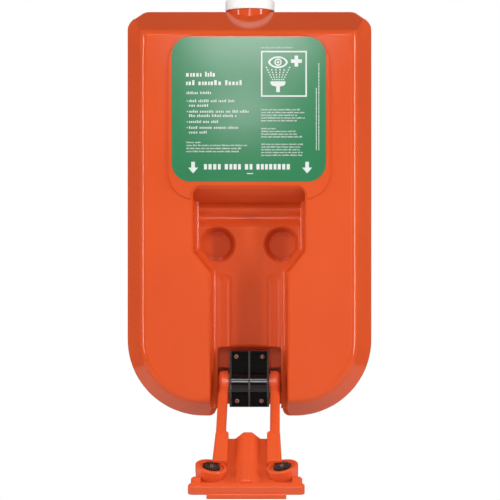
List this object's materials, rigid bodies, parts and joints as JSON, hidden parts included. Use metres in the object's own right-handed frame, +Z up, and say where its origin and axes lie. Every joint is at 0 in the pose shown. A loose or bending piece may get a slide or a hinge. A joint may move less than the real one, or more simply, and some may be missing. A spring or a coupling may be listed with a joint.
{
  "type": "eyewash station",
  "caption": "Wall-hung, gravity-fed eyewash station: an orange water tank with a screw filler cap, a label panel and a recessed spray arm that swings down on a rotary valve.",
  "frame": {"origin": "centre of the wall bracket's four bolt holes, on the wall plane", "axes": "+Z up, -Y out from the wall towards the user, +X to the right as seen by the user"},
  "size_m": [0.4, 0.3882, 0.7906],
  "materials": {
    "tank_orange": "satin moulded polyethylene, safety orange",
    "arm_orange": "satin injection moulded plastic, safety orange",
    "label_print": "printed film, green with white print, glossy",
    "cap_grey": "satin, light grey",
    "clamp_black": "satin black glass-filled plastic",
    "spray_black": "satin black plastic",
    "rubber_black": "matt moulded rubber",
    "screw_copper": "copper-toned plating, polished",
    "insert_brass": "turned brass",
    "bracket_steel": "grey powder coat on 3 mm folded steel",
    "strainer_steel": "perforated stainless steel",
    "filter_white": "porous sintered plastic"
  },
  "bodies": {
    "wall": {"wall_bracket": "bracket_steel"},
    "tank": {"tank_shell": "tank_orange", "label_panel": "label_print", "port_seal": "rubber_black", "pivot_clamp": "clamp_black", "threaded_inserts": "insert_brass", "clamp_screws": "screw_copper"},
    "arm": {"arm_frame": "arm_orange", "arm_cover": "arm_orange", "valve_barrel": "arm_orange", "barrel_rings": "rubber_black", "spray_body_left": "spray_black", "spray_body_right": "spray_black", "spray_plate_left": "spray_black", "spray_plate_right": "spray_black", "flow_disc_left": "rubber_black", "flow_disc_right": "rubber_black", "strainer_left": "strainer_steel", "strainer_right": "strainer_steel", "head_rings": "rubber_black", "plate_screws": "strainer_steel"},
    "seal": {"cap_gasket": "rubber_black"},
    "cap": {"filler_cap": "cap_grey", "vent_filter": "filter_white"}
  },
  "joints": [
    {"name": "tank_lift", "type": "slide", "parent": "wall", "child": "tank", "axis": [0, 0, 1], "range_m": [0, 0.03]},
    {"name": "arm_swing", "type": "hinge", "parent": "tank", "child": "arm", "pos_m": [0, -0.15, -0.382], "axis": [-1, 0, 0], "range_deg": [0, 120]},
    {"name": "cap_rise", "type": "slide", "parent": "tank", "child": "seal", "axis": [0, 0, 1], "range_m": [0, 0.01]},
    {"name": "cap_turn", "type": "hinge", "parent": "seal", "child": "cap", "pos_m": [0, -0.1, 0.24], "axis": [0, 0, 1], "range_deg": [0, 720]}
  ],
  "couplings": [
    {"joint": "cap_rise", "follows": "cap_turn", "m_per_rad": 0.00079577}
  ]
}
